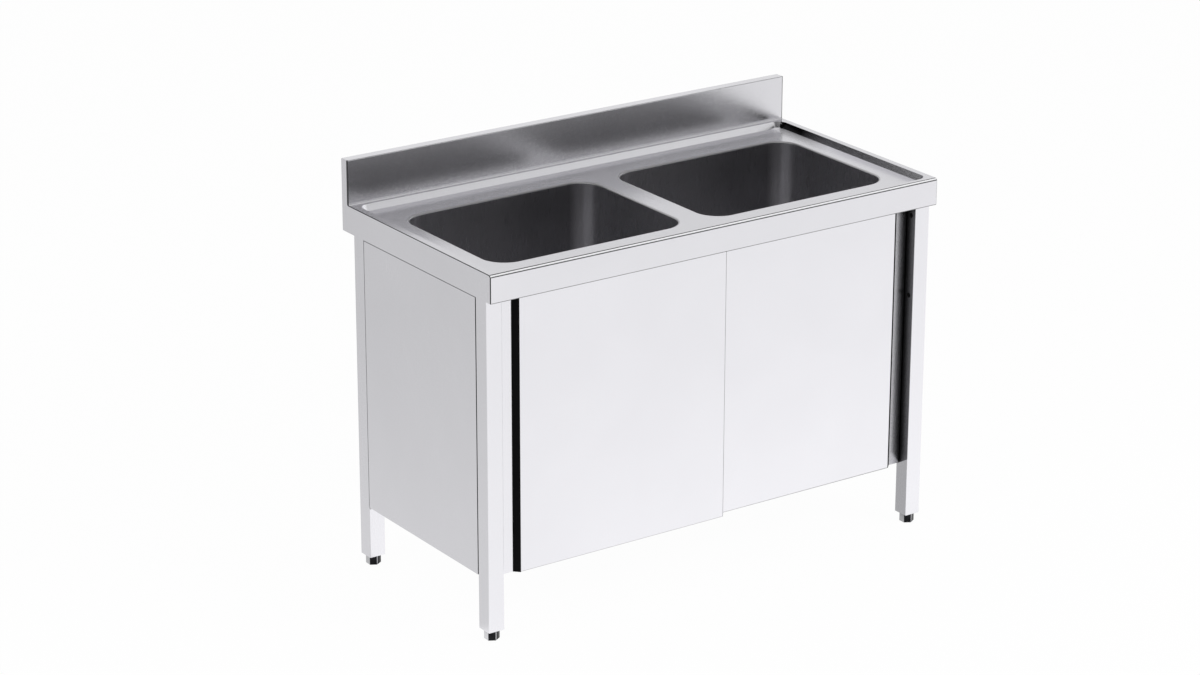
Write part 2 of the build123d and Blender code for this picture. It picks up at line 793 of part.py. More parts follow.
def build_door(side, hand):
    """One door leaf with its skin, liner, core, grip strip and the hangers on it."""
    front, back = door_faces(side)
    plate_y, foot_y = hanger_ys(side)
    hanger_xs = (side * (door_outer_x - hanger_inset), -side * door_inner_x + side * hanger_inset)
    return_z = door_top_z - door_sheet
    foot_z = (return_z - hanger_foot_thickness, return_z)
    foot_middle_y = sum(foot_y) / 2
    screw_places = [
        (hanger_x + way * hanger_screw_pitch / 2, foot_middle_y)
        for hanger_x in hanger_xs
        for way in (-1, 1)
    ]
    inner_x = (-side * (door_inner_x - door_sheet), side * (door_outer_x - door_sheet))
    slot_far_y = back - door_sheet
    slot_near_y = slot_far_y - guide_tab - 2 * touch_clearance

    with BuildPart() as skin:
        extrude(door_section(side, 0, cabinet_bottom), amount=door_top_z - cabinet_bottom)
        cavity = door_section(side, door_sheet, cabinet_bottom + door_sheet)
        extrude(cavity, amount=return_z - cabinet_bottom - door_sheet, mode=Mode.SUBTRACT)
        block(inner_x, (slot_far_y, back), (cabinet_bottom + door_sheet, return_z), Mode.SUBTRACT)
        bottom_return = (cabinet_bottom, cabinet_bottom + door_sheet)
        block(inner_x, (slot_near_y, slot_far_y), bottom_return, Mode.SUBTRACT)
        for hanger_x in hanger_xs:
            half = hanger_width / 2
            block((hanger_x - half, hanger_x + half), plate_y, (return_z, door_top_z), Mode.SUBTRACT)
        for place in screw_places:
            middle = (*place, door_top_z - door_sheet / 2)
            peg(middle, screw_radius + hole_clearance, door_sheet, mode=Mode.SUBTRACT)
    save(skin, f"door_{hand}_skin")

    with BuildPart() as liner:
        block(inner_x, (slot_far_y, back), (cabinet_bottom + door_sheet, return_z))
    save(liner, f"door_{hand}_liner")

    with BuildPart() as core:
        core_x = (-side * (door_inner_x - door_sheet), side * (fold_start - core_clearance))
        block(core_x, (front + door_sheet, slot_far_y), (cabinet_bottom + door_sheet, return_z))
        groove_z = cabinet_bottom + guide_engagement + 2 * door_sheet
        block(core_x, (slot_near_y, slot_far_y), (cabinet_bottom + door_sheet, groove_z), Mode.SUBTRACT)
        for hanger_x in hanger_xs:
            pocket = hanger_width / 2 + core_clearance
            block(
                (hanger_x - pocket, hanger_x + pocket),
                (front + door_sheet, slot_far_y),
                (return_z - hanger_screw_length - core_clearance, return_z),
                Mode.SUBTRACT,
            )
    save(core, f"door_{hand}_core")

    with BuildPart() as grip:
        reach = grip_thickness * math.sqrt(2)
        fold_rise = back - door_flange_thickness - front
        with BuildSketch(Plane.XY.offset(cabinet_bottom)):
            with BuildLine():
                Polyline(
                    (side * fold_start, front),
                    (side * (fold_start + reach), front),
                    (side * (fold_start + fold_rise + reach), front + fold_rise),
                    (side * (fold_start + fold_rise), front + fold_rise),
                    close=True,
                )
            make_face()
        extrude(amount=door_top_z - cabinet_bottom)
    save(grip, f"door_{hand}_grip")

    with BuildPart() as hangers:
        for hanger_x in hanger_xs:
            ends = (hanger_x - hanger_width / 2, hanger_x + hanger_width / 2)
            block(ends, foot_y, foot_z)
            block(ends, plate_y, (foot_z[0], axle_z + hanger_crown))
            middle = (hanger_x, sum(plate_y) / 2, axle_z)
            peg(middle, axle_radius + running_clearance, hanger_thickness, Y_TURN, Mode.SUBTRACT)
        for place in screw_places:
            middle = (*place, sum(foot_z) / 2)
            peg(middle, screw_radius + hole_clearance, hanger_foot_thickness, mode=Mode.SUBTRACT)
    save(hangers, f"door_{hand}_hangers")

    with BuildPart() as hanger_screws:
        for place in screw_places:
            head_z = door_top_z + screw_head_height / 2
            peg((*place, head_z), screw_head_radius, screw_head_height)
            peg((*place, door_top_z - hanger_screw_length / 2), screw_radius, hanger_screw_length)
    save(hanger_screws, f"door_{hand}_screws")

    collar_near = hanger_offset + hanger_thickness
    roller_near = axle_offset - roller_width / 2
    roller_far = axle_offset + roller_width / 2
    head_far = roller_far + touch_clearance + axle_head_height
    with BuildPart() as axles:
        for hanger_x in hanger_xs:
            bars = (
                (axle_radius, hanger_offset, head_far),
                (axle_head_radius, hanger_offset - axle_head_height, hanger_offset),
                (axle_head_radius, collar_near, roller_near - touch_clearance),
                (axle_head_radius, head_far - axle_head_height, head_far),
            )
            for radius, near, far in bars:
                middle_y = track_mid_y + side * (near + far) / 2
                peg((hanger_x, middle_y, axle_z), radius, far - near, Y_TURN)
    save(axles, f"door_{hand}_axles")

    for hanger_x, end in zip(hanger_xs, ("outer", "inner")):
        roller_y = track_mid_y + side * axle_offset
        with BuildPart() as roller:
            peg((hanger_x, roller_y, axle_z), roller_radius, roller_width, Y_TURN)
            with BuildSketch(Plane.XZ.offset(-roller_y)):
                with Locations((hanger_x, axle_z)):
                    Circle(roller_radius)
                    Circle(roller_radius - roller_groove_depth, mode=Mode.SUBTRACT)
            extrude(amount=roller_groove_width / 2, both=True, mode=Mode.SUBTRACT)
            bore = axle_radius + running_clearance
            peg((hanger_x, roller_y, axle_z), bore, roller_width, Y_TURN, Mode.SUBTRACT)
        save(roller, f"roller_{hand}_{end}")


for side, row, hand in ROWS:
    build_door(side, hand)
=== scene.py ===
import json
import math

import bpy
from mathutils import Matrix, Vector


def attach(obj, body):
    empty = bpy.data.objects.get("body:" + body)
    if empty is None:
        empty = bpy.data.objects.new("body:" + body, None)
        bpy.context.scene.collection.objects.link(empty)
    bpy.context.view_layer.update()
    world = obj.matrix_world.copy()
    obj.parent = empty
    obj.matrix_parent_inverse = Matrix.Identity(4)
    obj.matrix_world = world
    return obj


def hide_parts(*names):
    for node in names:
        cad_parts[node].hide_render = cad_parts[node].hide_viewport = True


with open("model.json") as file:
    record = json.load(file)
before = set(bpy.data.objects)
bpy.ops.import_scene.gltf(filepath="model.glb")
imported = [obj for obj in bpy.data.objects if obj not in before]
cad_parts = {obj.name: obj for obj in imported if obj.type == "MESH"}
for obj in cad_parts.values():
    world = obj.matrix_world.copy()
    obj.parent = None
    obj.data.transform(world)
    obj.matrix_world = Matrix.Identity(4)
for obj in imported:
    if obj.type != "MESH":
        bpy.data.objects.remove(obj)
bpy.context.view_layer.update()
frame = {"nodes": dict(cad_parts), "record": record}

# The camera stands in front of the unit's left corner and looks a little down.
CAMERA_PLACE = (-4.364382, -6.144899, 3.243348)
CAMERA_TURN = (1.2211736, -0.0016141, -0.6043366)
CAMERA_LENS = 106.498
SENSOR_WIDTH = 36.0

FLOOR_HALF = 14.0


def deselect_all():
    if bpy.context.mode != "OBJECT":
        bpy.ops.object.mode_set(mode="OBJECT")
    bpy.ops.object.select_all(action="DESELECT")


# ---------------------------------------------------------------- node trees
class Weave:
    """A material's or the world's node tree, with short ways to add and join nodes."""

    def __init__(self, owner):
        owner.use_nodes = True
        self.tree = owner.node_tree
        self.tree.nodes.clear()
        self.count = 0

    def add(self, kind, **settings):
        node = self.tree.nodes.new(kind)
        node.location = (220 * (self.count % 8), -260 * (self.count // 8))
        self.count += 1
        for key, value in settings.items():
            setattr(node, key, value)
        return node

    def feed(self, node, **sockets):
        """Joins a socket to another node's output, or sets its own value."""
        for key, value in sockets.items():
            name = key.replace("_", " ")
            socket = node.inputs[name] if name in node.inputs else node.inputs[int(key[1:])]
            if isinstance(value, bpy.types.NodeSocket):
                self.tree.links.new(value, socket)
            else:
                socket.default_value = value
        return node

    def place(self, scale=(1, 1, 1), turn=(0, 0, 0)):
        """Object coordinates, stretched and turned."""
        where = self.add("ShaderNodeTexCoord")
        mapping = self.add("ShaderNodeMapping")
        self.feed(mapping, Vector=where.outputs["Object"], Scale=scale, Rotation=turn)
        return mapping.outputs["Vector"]

    def axes(self):
        """Object coordinates as three separate values."""
        parts = self.add("ShaderNodeSeparateXYZ")
        self.feed(parts, Vector=self.place())
        return parts.outputs

    def noise(self, vector, scale, detail=2.0, rough=0.5, distortion=0.0):
        node = self.add("ShaderNodeTexNoise")
        self.feed(node, Vector=vector, Scale=scale, Detail=detail, Roughness=rough,
                  Distortion=distortion)
        return node.outputs[0]

    def cell_colors(self, vector, scale):
        """The three parts of a random colour for each cell of a pattern."""
        node = self.add("ShaderNodeTexVoronoi")
        self.feed(node, Vector=vector, Scale=scale)
        parts = self.add("ShaderNodeSeparateColor")
        self.feed(parts, Color=node.outputs["Color"])
        return parts.outputs

    def span(self, value, low, high, to_low, to_high):
        """Carries a value from one range to another, held at both ends."""
        node = self.add("ShaderNodeMapRange", clamp=True)
        self.feed(node, i0=value, i1=low, i2=high, i3=to_low, i4=to_high)
        return node.outputs[0]

    def calc(self, a, b, way="ADD"):
        """A sum, or another operation on two values."""
        node = self.add("ShaderNodeMath", operation=way)
        self.feed(node, i0=a, i1=b)
        return node.outputs[0]

    def tint(self, fac, low, high):
        """A colour between two, by a value from 0 to 1."""
        node = self.add("ShaderNodeMix", data_type="RGBA")
        self.feed(node, i0=fac, i6=(*low, 1), i7=(*high, 1))
        return node.outputs[2]

    def relief(self, height, strength, distance, under=None):
        """A slight unevenness, on top of another where one is given."""
        node = self.add("ShaderNodeBump")
        self.feed(node, Height=height, Strength=strength, Distance=distance)
        if under is not None:
            self.feed(node, Normal=under)
        return node.outputs[0]

    def mirror_rays(self):
        """The light path, and 1 for the rays that steel mirrors or that pass through."""
        rays = self.add("ShaderNodeLightPath")
        return rays, self.calc(rays.outputs["Is Glossy Ray"], rays.outputs["Is Transmission Ray"],
                               "MAXIMUM")

    def surface(self, **sockets):
        """The surface's own shader, joined to the output."""
        shader = self.add("ShaderNodeBsdfPrincipled")
        self.feed(shader, **sockets)
        end = self.add("ShaderNodeOutputMaterial")
        self.feed(end, Surface=shader.outputs[0])
        return shader


# Places on the unit, in metres.
HALF_WIDTH, FRONT_Y, WORKTOP_Z = 0.600, -0.300, 0.845
BEVEL_SIZE, APRON_FOOT_Z = 0.0045, 0.782
RECESS_Z, STEP_X, UPSTAND_Y, LEDGE_Y = 0.830, 0.583, 0.273, 0.266
DOOR_FRONT_Y, DOOR_FOOT_Z, DOOR_OVERLAP_X = {"left": -0.2773, "right": -0.2593}, 0.148, 0.0275
PULL_X, LEG_INNER_X, REAR_LEG_Y = 0.5245, 0.558, 0.216

ALONG_GRAIN, ACROSS_GRAIN = 14.0, 1500.0
GRAIN_DEPTH, SCRATCH_DEPTH = 0.0004, 0.0002
SMUDGE = 0.02
MATT_SHARE = 0.55
BOWL_PITCH = 0.56

finishes = {}


def new_finish(name):
    """The empty node tree of a new finish."""
    finishes[name] = bpy.data.materials.new(name)
    return Weave(finishes[name])


def steel_grain(w, way):
    """Fine lines along one axis."""
    stretch = [ALONG_GRAIN if axis == way else ACROSS_GRAIN for axis in "xyz"]
    return w.noise(w.place(tuple(stretch)), 1.0, 3.0, 0.6)


def matt_places(w):
    """1 on the strip along the upstand's foot and on the floor beside the right step's rear end."""
    x, y, z = w.axes()
    foot = w.calc(w.span(y, LEDGE_Y, LEDGE_Y + 0.002, 0.0, 1.0),
                  w.span(z, WORKTOP_Z - 0.0008, WORKTOP_Z, 0.0, 1.0), "MULTIPLY")
    corner = w.calc(w.span(x, STEP_X - 0.038, STEP_X - 0.023, 0.0, 1.0),
                    w.span(y, 0.0, 0.10, 0.0, 1.0), "MULTIPLY")
    floor_only = w.span(z, RECESS_Z + 0.001, RECESS_Z + 0.003, 1.0, 0.0)
    return w.calc(foot, w.calc(corner, floor_only, "MULTIPLY"), "MAXIMUM")


def brushed_steel(name, shade, grain_way, rough=(0.20, 0.28), grain=0.006, matt=False):
    """Satin steel: fine grain along one way, faint smudges and a few hairline scratches."""
    w = new_finish(name)
    grain_lines = steel_grain(w, grain_way)
    smudges = w.noise(w.place(), 5.0, 3.0, 0.55, 0.4)
    broad = w.noise(w.place(), 1.3, 1.0)
    scuffs = w.noise(w.place((60, 60, 60), (0.3, 0.5, 0.7)), 1.0, 6.0, 0.7, 2.0)
    scratch = w.span(w.calc(w.calc(scuffs, 0.5, "SUBTRACT"), 0, "ABSOLUTE"), 0.0, 0.006, 1.0, 0.0)
    cloud = w.calc(w.calc(smudges, broad), 0.5, "MULTIPLY")
    light = tuple(min(1.0, c * (1 + SMUDGE)) for c in shade)
    dark = tuple(c * (1 - SMUDGE) for c in shade)
    uneven = w.calc(w.calc(grain_lines, 0.6, "MULTIPLY"), w.calc(smudges, 0.4, "MULTIPLY"))
    rough_base = w.span(uneven, 0.3, 0.7, *rough)
    metal = 1.0
    if matt:
        metal = w.calc(1.0, w.calc(matt_places(w), MATT_SHARE, "MULTIPLY"), "SUBTRACT")
    w.surface(Base_Color=w.tint(w.span(cloud, 0.35, 0.65, 0.0, 1.0), dark, light), Metallic=metal,
              Roughness=w.calc(rough_base, w.calc(scratch, 0.05, "MULTIPLY")),
              Normal=w.relief(scratch, 0.02, SCRATCH_DEPTH, w.relief(grain_lines, grain, GRAIN_DEPTH)))


def bowl_highlight_and_shade_finish(name, shade, bright):
    """The pressed bowls' steel, darkened, with painted light: painted highlights in the rear right and
    front left corners and on the right wall, and painted shade darker towards the right on the rear wall."""
    w = new_finish(name)
    where = w.add("ShaderNodeTexCoord")
    facing = w.add("ShaderNodeSeparateXYZ")
    w.feed(facing, Vector=where.outputs["Normal"])
    facing_x, facing_y, facing_z = facing.outputs
    corner = w.span(w.calc(facing_x, facing_y, "MULTIPLY"), 0.12, 0.42, 0.0, 0.51)
    right = w.span(facing_x, -0.6, -1.0, 0.0, 0.37)
    x, y, z = w.axes()
    across = w.calc(w.calc(x, BOWL_PITCH), BOWL_PITCH, "MODULO")
    rear = w.calc(w.span(across, 0.03, 0.38, 0.0, 0.50), w.span(facing_y, -0.5, -0.9, 0.0, 1.0),
                  "MULTIPLY")
    grain_lines = w.noise(w.place((1200, 1200, 20)), 1.0, 3.0, 0.6)
    smudges = w.calc(w.noise(w.place(), 7.0, 3.0, 0.55, 0.4), 0.043, "MULTIPLY")
    light = w.calc(w.calc(w.calc(corner, right), smudges), 0.50)
    w.surface(Base_Color=w.tint(w.calc(light, rear, "SUBTRACT"), shade, bright), Metallic=1.0,
              Roughness=w.span(grain_lines, 0.3, 0.7, 0.26, 0.34),
              Normal=w.relief(grain_lines, 0.003, GRAIN_DEPTH))


def step_shade_finish(name, shade, dark, rear):
    """The recess's right step, with painted shade: it darkens towards the rear corner."""
    w = new_finish(name)
    x, y, z = w.axes()
    grain_lines = steel_grain(w, "y")
    w.surface(Base_Color=w.tint(w.span(y, *rear, 1.0, 0.0), dark, shade), Metallic=1.0,
              Roughness=w.span(grain_lines, 0.3, 0.7, 0.20, 0.24),
              Normal=w.relief(grain_lines, 0.0015, GRAIN_DEPTH))


def alcove_shade_steel(name, reach, depth, lowest=0.0, slope=0.0):
    """Steel in a gap or a finger pull, with painted shade: its colour darkens where the gap is
    deep and little light gets in. Below the lowest height, which rises by the slope towards the
    front, no shade is painted and it stays light."""
    w = new_finish(name)
    opening = w.add("ShaderNodeAmbientOcclusion", samples=8)
    w.feed(opening, Distance=reach)
    grain_lines = steel_grain(w, "z")
    x, y, z = w.axes()
    above = w.calc(z, w.calc(y, slope, "MULTIPLY"))
    light = w.calc(w.span(opening.outputs["AO"], *depth, 0.0, 1.0),
                   w.span(above, lowest - 0.002, lowest, 1.0, 0.0), "MAXIMUM")
    w.surface(Base_Color=w.tint(light, DEEP_SHADE, STEEL), Metallic=1.0,
              Roughness=w.span(grain_lines, 0.3, 0.7, 0.22, 0.30),
              Normal=w.relief(grain_lines, 0.01, GRAIN_DEPTH))


def plain_finish(name, low, high, scale, rough, metallic=0.0, **more):
    """A mottled finish: two near shades, uneven gloss and a slight relief."""
    w = new_finish(name)
    place = w.place()
    mottle = w.noise(place, scale, 4.0, 0.6)
    fine = w.noise(place, scale * 6, 2.0)
    w.surface(Base_Color=w.tint(w.span(mottle, 0.3, 0.7, 0, 1), low, high), Metallic=metallic,
              Roughness=w.span(fine, 0.3, 0.7, *rough), Normal=w.relief(fine, 0.1, 0.0005), **more)


def galvanised(name, low, high):
    """Zinc on sheet steel: flat crystals of slightly different greys."""
    w = new_finish(name)
    place = w.place()
    crystal = w.cell_colors(place, 90.0)
    dull = w.noise(place, 25.0, 4.0)
    w.surface(Base_Color=w.tint(crystal[0], low, high), Metallic=1.0,
              Roughness=w.span(w.calc(crystal[1], dull), 0.4, 1.6, 0.32, 0.52),
              Normal=w.relief(dull, 0.05, 0.0004))


def chip_board(name, low, high):
    """Pressed wood chips, a little flattened."""
    w = new_finish(name)
    chips = w.cell_colors(w.place((1, 1, 2.2)), 260.0)
    fine = w.noise(w.place(), 900.0, 3.0)
    w.surface(Base_Color=w.tint(chips[0], low, high), Roughness=w.span(fine, 0.3, 0.7, 0.7, 0.9),
              Normal=w.relief(chips[1], 0.3, 0.0006))


def shaded(share):
    """Steel's colour, darkened, for painted shade."""
    return tuple(share * c for c in STEEL)


STEEL, DEEP_SHADE = (0.900, 0.894, 0.930), (0.018, 0.018, 0.019)
# Painted shade in the finger pulls and the gaps.
alcove_shade_steel("pull_steel", 0.05, (0.47, 0.95))
alcove_shade_steel("pull_side_steel", 0.05, (0.53, 1.42), 0.004, 0.58)
alcove_shade_steel("gap_steel", 0.008, (0.62, 1.0))
# Painted shade: dark steels for the fold lines, lower edges and corners, and for the faces of the upstand
# caps that turn to the front.
plain_finish("fold_steel", (0.17, 0.17, 0.175), (0.23, 0.23, 0.235), 60, (0.3, 0.4), 1.0)
plain_finish("lower_edge_steel", (0.48, 0.48, 0.49), (0.54, 0.54, 0.55), 60, (0.3, 0.4), 1.0)
plain_finish("corner_steel", (0.04, 0.04, 0.042), (0.07, 0.07, 0.072), 60, (0.3, 0.4), 1.0)
plain_finish("cap_edge_steel", (0.08, 0.08, 0.083), (0.11, 0.11, 0.113), 60, (0.3, 0.4), 1.0)
# Painted shade: the apron's front and the upstand's front take darker copies of the worktop steel.
brushed_steel("apron_steel", shaded(0.955), "x", grain=0.004)
brushed_steel("upstand_steel", shaded(0.86), "x", (0.255, 0.275), 0.001)
# Painted highlight: the front bevel's steel is nearly matt and light, so it reads as lit.
plain_finish("bevel_steel", (0.84, 0.84, 0.86), (0.90, 0.90, 0.92), 60, (0.3, 0.4), 0.1)
# Painted shade on the recess's right step, darkest at the rear.
step_shade_finish("step_steel", STEEL, (0.02, 0.02, 0.021), (0.075, 0.175))
brushed_steel("worktop_steel", STEEL, "x", (0.20, 0.24), 0.0015, matt=True)
brushed_steel("upright_steel", STEEL, "z")
brushed_steel("side_steel", STEEL, "z")
# Painted light and shade: the bowls' darkened steel, with painted highlights in two corners and on the
# right wall.
bowl_highlight_and_shade_finish("bowl_steel", (0.30, 0.296, 0.314), (0.86, 0.855, 0.88))
galvanised("zinc_steel", (0.50, 0.51, 0.53), (0.62, 0.63, 0.65))
plain_finish("fastener_steel", (0.46, 0.46, 0.48), (0.60, 0.60, 0.62), 120, (0.24, 0.36), 1.0)
# Painted light on the feet: near-black steel as painted shade, and lighter steels as painted highlights
# on some faces.
plain_finish("foot_steel", (0.012, 0.012, 0.014), (0.026, 0.026, 0.028), 90, (0.12, 0.2), 1.0)
plain_finish("foot_side_steel", (0.62, 0.62, 0.64), (0.70, 0.70, 0.72), 90, (0.2, 0.3), 1.0)
plain_finish("foot_edge_steel", (0.50, 0.50, 0.52), (0.60, 0.60, 0.62), 90, (0.2, 0.3), 0.5)
plain_finish("waste_chrome", (0.70, 0.70, 0.72), (0.78, 0.78, 0.80), 60, (0.10, 0.18), 1.0)
plain_finish("black_plastic", (0.0015, 0.0015, 0.002), (0.004, 0.004, 0.004), 300, (0.5, 0.62),
             Specular_IOR_Level=0.08)
plain_finish("rubber", (0.003, 0.003, 0.003), (0.007, 0.007, 0.007), 400, (0.6, 0.8),
             Specular_IOR_Level=0.12)
plain_finish("nylon", (0.72, 0.70, 0.65), (0.80, 0.79, 0.75), 80, (0.38, 0.5))
chip_board("core_board", (0.36, 0.24, 0.13), (0.62, 0.47, 0.29))

NODE_FINISH = {
    "worktop": "worktop_steel",
    "upstand_cap_left": "side_steel", "upstand_cap_right": "side_steel",
    "side_panel_left": "side_steel", "side_panel_right": "side_steel",
    "waste_bodies": "waste_chrome", "waste_strainers": "waste_chrome",
}
# Polished steel takes the feet's near-black steel, which is painted shade.
SLOT_FINISH = {
    "satin_steel": "upright_steel", "polished_steel": "foot_steel",
}
slot_of = {}
for name, piece in frame["nodes"].items():
    for slot in piece.material_slots:
        slot_of[name] = slot.material.name.split(".")[0]
        key = NODE_FINISH.get(name) or SLOT_FINISH.get(slot_of[name], slot_of[name])
        slot.material = finishes[key]
body_of = {n: b for b, nodes in frame["record"]["behaviour"]["bodies"].items() for n in nodes}


# ---------------------------------------------------------------- folded sheets
def edit(piece, way="SELECT"):
    """Opens a piece in edit mode with all of it, or nothing, selected."""
    deselect_all()
    piece.select_set(True)
    bpy.context.view_layer.objects.active = piece
    bpy.ops.object.mode_set(mode="EDIT")
    bpy.ops.mesh.select_all(action=way)


MERGE_REACH, FLAT_ANGLE, SHARP_ANGLE = 0.00001, math.radians(0.4), math.radians(40)
LINE_INDEX, SAME_AS_NEIGHBOUR = 1, -1


def sheet_copy(node, finish, fold, line=None, lines=None, line_width=0.0013):
    """A copy of a CAD sheet as whole faces, with its sharp edges folded round. It stands for the node.
    Edges that pass the lines test are folded wider, and get the line finish."""
    source = frame["nodes"][node]
    piece = bpy.data.objects.new(node + "_folded", source.data.copy())
    bpy.context.scene.collection.objects.link(piece)
    edit(piece)
    bpy.ops.mesh.customdata_custom_splitnormals_clear()
    bpy.ops.mesh.remove_doubles(threshold=MERGE_REACH)
    bpy.ops.mesh.mark_sharp(clear=True)
    bpy.ops.mesh.dissolve_limited(angle_limit=FLAT_ANGLE)
    bpy.ops.object.mode_set(mode="OBJECT")
    piece.data.materials.clear()
    piece.data.materials.append(finishes[finish])
    piece.data.materials.append(finishes[line or finish])
    for face in piece.data.polygons:
        face.material_index = 0
        face.use_smooth = True
    if lines:
        weights = piece.data.attributes.new("bevel_weight_edge", "FLOAT", "EDGE")
        for edge in piece.data.edges:
            ends = [piece.data.vertices[v].co for v in edge.vertices]
            weights.data[edge.index].value = 1.0 if lines(*ends) else 0.0
        round_edges(piece, line_width, "WEIGHT", LINE_INDEX)
    round_edges(piece, fold, "ANGLE", SAME_AS_NEIGHBOUR)
    flat_faces(piece)
    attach(piece, body_of[node])
    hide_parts(node)
    return piece


def round_edges(piece, width, which, index):
    """Rounds the weighted edges, or all sharp ones where a narrow face holds the width back."""
    rounding = piece.modifiers.new("fold", "BEVEL")
    rounding.width = width
    rounding.segments = 2
    rounding.limit_method = which
    rounding.angle_limit = SHARP_ANGLE
    rounding.material = index
    rounding.use_clamp_overlap = which == "ANGLE"
    bpy.ops.object.modifier_apply(modifier="fold")


def flat_faces(piece):
    """Keeps the large faces flat to the light right up to their rounded edges."""
    keep = piece.modifiers.new("flat_faces", "WEIGHTED_NORMAL")
    keep.mode = "FACE_AREA"
    keep.weight = 100
    keep.keep_sharp = True
    bpy.ops.object.modifier_apply(modifier="flat_faces")


def paint(piece, finish, test):
    """Gives the faces whose centre and normal pass the test another finish."""
    if finishes[finish].name not in [m.name for m in piece.data.materials]:
        piece.data.materials.append(finishes[finish])
    index = [m.name for m in piece.data.materials].index(finishes[finish].name)
    for face in piece.data.polygons:
        if test(face.center, face.normal, face.material_index):
            face.material_index = index


FRONT_FOLDS = ((FRONT_Y, WORKTOP_Z - BEVEL_SIZE), (FRONT_Y + BEVEL_SIZE, WORKTOP_Z),
               (FRONT_Y, APRON_FOOT_Z))
ON_LINE = 0.0002


def front_fold(a, b):
    """The two long edges of the worktop's front bevel, and the apron's lower front edge."""
    if abs(a.x - b.x) < HALF_WIDTH:
        return False
    return any(all(abs(p.y - y) < ON_LINE and abs(p.z - z) < ON_LINE for p in (a, b))
               for y, z in FRONT_FOLDS)


def door_line(a, b, side):
    """The doors' lower front edges, and the left door's right front edge where the doors overlap."""
    if max(a.y, b.y) > DOOR_FRONT_Y[side]:
        return False
    overlap = side == "left" and abs(a.z - b.z) > 0.3 and min(a.x, b.x) > DOOR_OVERLAP_X
    return overlap or abs(a.x - b.x) > 0.3 and max(a.z, b.z) < DOOR_FOOT_Z


def on_end(at):
    return abs(at.x) > HALF_WIDTH - 0.003


# Painted shade: the worktop's front fold lines get the dark fold steel.
worktop = sheet_copy("worktop", "worktop_steel", 0.0005, "fold_steel", front_fold)
# Painted shade: the apron's front gets the darker apron steel.
paint(worktop, "apron_steel", lambda at, up, now: now == 0 and up.y < -0.9 and at.y < FRONT_Y + 0.0005)
paint(worktop, "side_steel",
      lambda at, up, now: now == 0 and abs(up.x) > 0.9 and abs(at.x) > HALF_WIDTH - 0.0005)
# Painted shade: the upstand's front gets the darker upstand steel.
paint(worktop, "upstand_steel",
      lambda at, up, now: at.y > UPSTAND_Y - 0.001 and up.y < -0.7 and at.z > WORKTOP_Z + 0.0005)
# Painted highlight on the worktop's front bevel.
paint(worktop, "bevel_steel",
      lambda at, up, now: now == 0 and at.y < FRONT_Y + 0.005 and up.y * up.z < -0.45)
# Painted shade on the folds at the worktop's ends.
paint(worktop, "fold_steel",
      lambda at, up, now: on_end(at) and abs(up.x * up.z) > 0.36 and at.z > WORKTOP_Z - 0.005)
# Painted shade: the bevel's upper fold line is made darker still.
paint(worktop, "corner_steel", lambda at, up, now: now == LINE_INDEX and at.y > FRONT_Y + 0.0025)
# Painted shade along the apron's lower front edge.
paint(worktop, "lower_edge_steel",
      lambda at, up, now: at.y < FRONT_Y + 0.0015 and at.z < APRON_FOOT_Z + 0.0015
      and up.z < -0.2 and up.y < -0.2)
# Painted shade on the apron's vertical end corners.
paint(worktop, "corner_steel",
      lambda at, up, now: on_end(at) and abs(up.x * up.y) > 0.25 and at.y < FRONT_Y + 0.01)
# Painted shade: the edges of the bowl openings take the bowls' darkened steel.
paint(worktop, "bowl_steel",
      lambda at, up, now: RECESS_Z - 0.003 < at.z < RECESS_Z - 0.0001 and abs(up.z) < 0.8
      and abs(at.x) < BOWL_PITCH and abs(at.y) < 0.23)
# Painted shade: the recess's right step darkens towards the rear corner.
paint(worktop, "step_steel",
      lambda at, up, now: STEP_X - 0.013 < at.x < STEP_X + 0.007 and up.x < -0.75
      and at.z > RECESS_Z + 0.0005)
for side in ("left", "right"):
    cap = sheet_copy("upstand_cap_" + side, "side_steel", 0.0005)
    # Painted shade on the faces of the cap that turn to the front.
    paint(cap, "cap_edge_steel", lambda at, up, now: up.y < -0.12)
    panel = sheet_copy("side_panel_" + side, "side_steel", 0.0004)
    # Painted shade: the panel's edge returns darken in the gaps.
    paint(panel, "gap_steel", lambda at, up, now: abs(up.y) > 0.7 or abs(up.z) > 0.7)
    # Painted shade: the doors' lower front edges and the left door's edge over the right door get dark
    # line steel.
    skin = sheet_copy("door_" + side + "_skin", "upright_steel", 0.0005, "corner_steel",
                      lambda a, b: door_line(a, b, side), 0.0018)
    paint(skin, "lower_edge_steel",
          lambda at, up, now: now == LINE_INDEX and at.z < DOOR_FOOT_Z + 0.001)
    # Painted shade: the right door's pull flange darkens deep in the finger pull.
    if side == "right":
        paint(skin, "pull_steel", lambda at, up, now: at.x > PULL_X and up.y < -0.5)
    for end in ("front", "rear"):
        leg = sheet_copy("leg_" + end + "_" + side, "upright_steel", 0.0003)
        paint(leg, "side_steel", lambda at, up, now: abs(up.x) > 0.7)
        # Painted shade: the front legs' inner faces darken in the finger pull, and the rear legs' front
        # faces in the gap.
        if end == "front":
            paint(leg, "pull_side_steel", lambda at, up, now: abs(at.x) < LEG_INNER_X and abs(up.x) > 0.7)
        else:
            paint(leg, "gap_steel", lambda at, up, now: at.y < REAR_LEG_Y and up.y < -0.7)

for node, finish in (("back_panel", "upright_steel"), ("bottom_shelf", "worktop_steel"),
                     ("door_left_liner", "upright_steel"), ("door_right_liner", "upright_steel"),
                     ("shelf_stiffener", "zinc_steel"), ("centre_stiffener", "zinc_steel"),
                     ("rear_rail", "zinc_steel"), ("side_rail_left", "zinc_steel"),
                     ("side_rail_right", "zinc_steel")):
    sheet_copy(node, finish, 0.0003)


